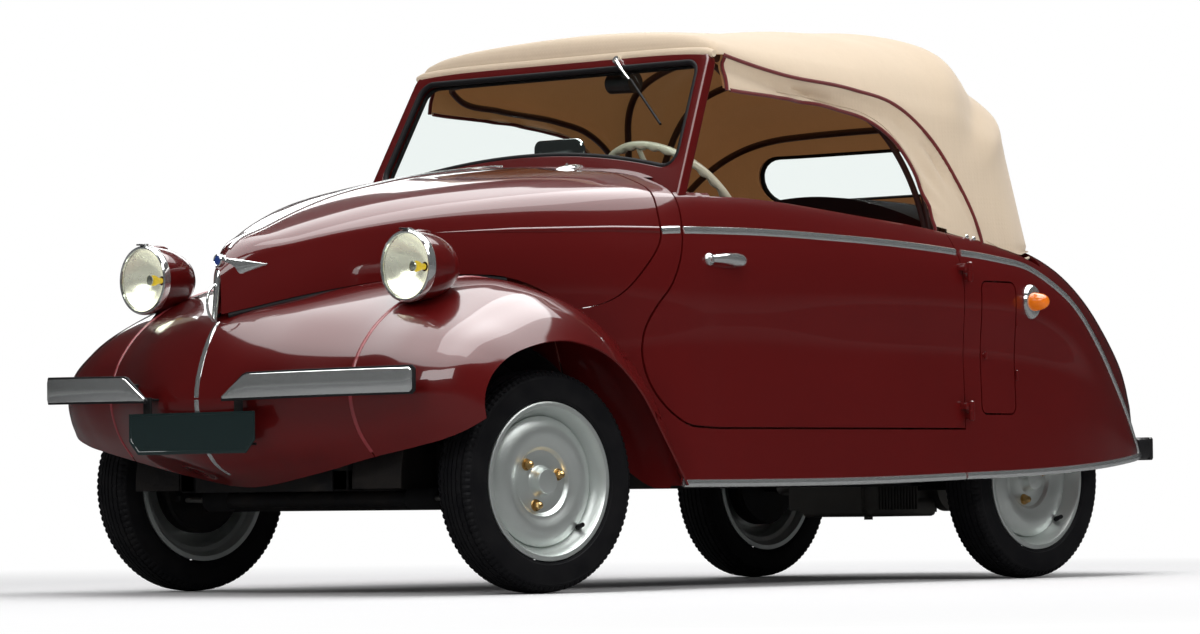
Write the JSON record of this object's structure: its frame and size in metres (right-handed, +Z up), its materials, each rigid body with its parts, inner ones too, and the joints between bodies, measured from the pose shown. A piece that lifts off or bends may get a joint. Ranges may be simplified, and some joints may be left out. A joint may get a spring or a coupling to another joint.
{
  "type": "small four wheeled convertible car",
  "caption": "Small two-seat convertible car with a pointed nose, free-standing headlamps, raised soft top and a narrow rear track.",
  "frame": {"origin": "on the ground under the middle of the car's length and width", "axes": "+X towards the tail, +Y towards the car's right side, +Z up; the nose points to -X"},
  "size_m": [3.1579, 1.38, 1.388],
  "materials": {
    "aluminium": "cast",
    "brushed_steel": "satin",
    "cast_iron": "painted black",
    "chrome": "polished",
    "fabric": "woven",
    "frame_paint": "satin",
    "glass": "clear",
    "gloss_plastic": "ivory",
    "leather": "padded",
    "mirror": "polished",
    "painted_metal": "gloss",
    "plastic": "clear orange",
    "plate_paint": "gloss",
    "tyre": "rubber"
  },
  "bodies": {
    "car": {"body_tub": "painted_metal", "bumper_front_left": "chrome", "bumper_front_right": "chrome", "bumper_rear": "chrome", "chassis": "frame_paint", "dashboard": "painted_metal", "engine_block": "aluminium", "exhaust": "brushed_steel", "fender_left": "painted_metal", "fender_right": "painted_metal", "floor": "frame_paint", "front_axle": "cast_iron", "headlamp_left": "painted_metal", "headlamp_lens_left": "glass", "headlamp_lens_right": "glass", "headlamp_right": "painted_metal", "indicator_left": "plastic", "indicator_right": "plastic", "mirror": "mirror", "nose_apron": "painted_metal", "number_plate": "plate_paint", "rear_axle": "cast_iron", "rear_window": "glass", "seat_back": "leather", "seat_cushion": "leather", "soft_top": "fabric", "steering_column": "painted_metal", "windscreen_frame": "painted_metal", "windscreen_glass": "glass", "wiper": "chrome"},
    "bonnet": {"bonnet": "painted_metal"},
    "door_left": {"door_left": "painted_metal"},
    "door_right": {"door_right": "painted_metal"},
    "steering_wheel": {"steering_wheel": "gloss_plastic"},
    "side_hatch": {"side_hatch": "painted_metal"},
    "knuckle_left": {"knuckle_left": "cast_iron"},
    "wheel_front_left": {"wheel_front_left": "brushed_steel", "tyre_front_left": "tyre"},
    "wheel_rear_left": {"wheel_rear_left": "brushed_steel", "tyre_rear_left": "tyre"},
    "knuckle_right": {"knuckle_right": "cast_iron"},
    "wheel_front_right": {"wheel_front_right": "brushed_steel", "tyre_front_right": "tyre"},
    "wheel_rear_right": {"wheel_rear_right": "brushed_steel", "tyre_rear_right": "tyre"}
  },
  "joints": [
    {"name": "steer_left", "type": "hinge", "parent": "car", "child": "knuckle_left", "pos_m": [-1.033, -0.4895, 0.252], "axis": [0, 0, 1], "range_deg": [-20, 30]},
    {"name": "front_left_spin", "type": "hinge", "parent": "knuckle_left", "child": "wheel_front_left", "pos_m": [-1.04128, -0.58414, 0.252], "axis": [0.0872, 0.9962, 0], "continuous": true},
    {"name": "rear_left_spin", "type": "hinge", "parent": "car", "child": "wheel_rear_left", "pos_m": [0.861, -0.456, 0.252], "axis": [0, 1, 0], "continuous": true},
    {"name": "door_left_hinge", "type": "hinge", "parent": "car", "child": "door_left", "pos_m": [0.474, -0.613, 0.59], "axis": [0, 0, 1], "range_deg": [0, 70]},
    {"name": "steer_right", "type": "hinge", "parent": "car", "child": "knuckle_right", "pos_m": [-1.033, 0.4895, 0.252], "axis": [0, 0, 1], "range_deg": [-20, 30]},
    {"name": "front_right_spin", "type": "hinge", "parent": "knuckle_right", "child": "wheel_front_right", "pos_m": [-1.02472, 0.58414, 0.252], "axis": [0.0872, 0.9962, 0], "continuous": true},
    {"name": "rear_right_spin", "type": "hinge", "parent": "car", "child": "wheel_rear_right", "pos_m": [0.861, 0.456, 0.252], "axis": [0, 1, 0], "continuous": true},
    {"name": "door_right_hinge", "type": "hinge", "parent": "car", "child": "door_right", "pos_m": [0.474, 0.613, 0.59], "axis": [0, 0, -1], "range_deg": [0, 70]},
    {"name": "bonnet_hinge", "type": "hinge", "parent": "car", "child": "bonnet", "pos_m": [-0.53, 0, 1.016], "axis": [0, 1, 0], "range_deg": [0, 50]},
    {"name": "side_hatch_hinge", "type": "hinge", "parent": "car", "child": "side_hatch", "pos_m": [0.685, -0.587, 0.575], "axis": [0, 0, 1], "range_deg": [0, 80]},
    {"name": "steering_wheel_turn", "type": "hinge", "parent": "car", "child": "steering_wheel", "pos_m": [-0.233, -0.27, 0.91], "axis": [0.766, 0, 0.6428], "range_deg": [-240, 360]}
  ],
  "couplings": [
    {"joint": "steer_left", "follows": "steering_wheel_turn", "ratio": 0.0833},
    {"joint": "steer_right", "follows": "steering_wheel_turn", "ratio": 0.0833}
  ]
}
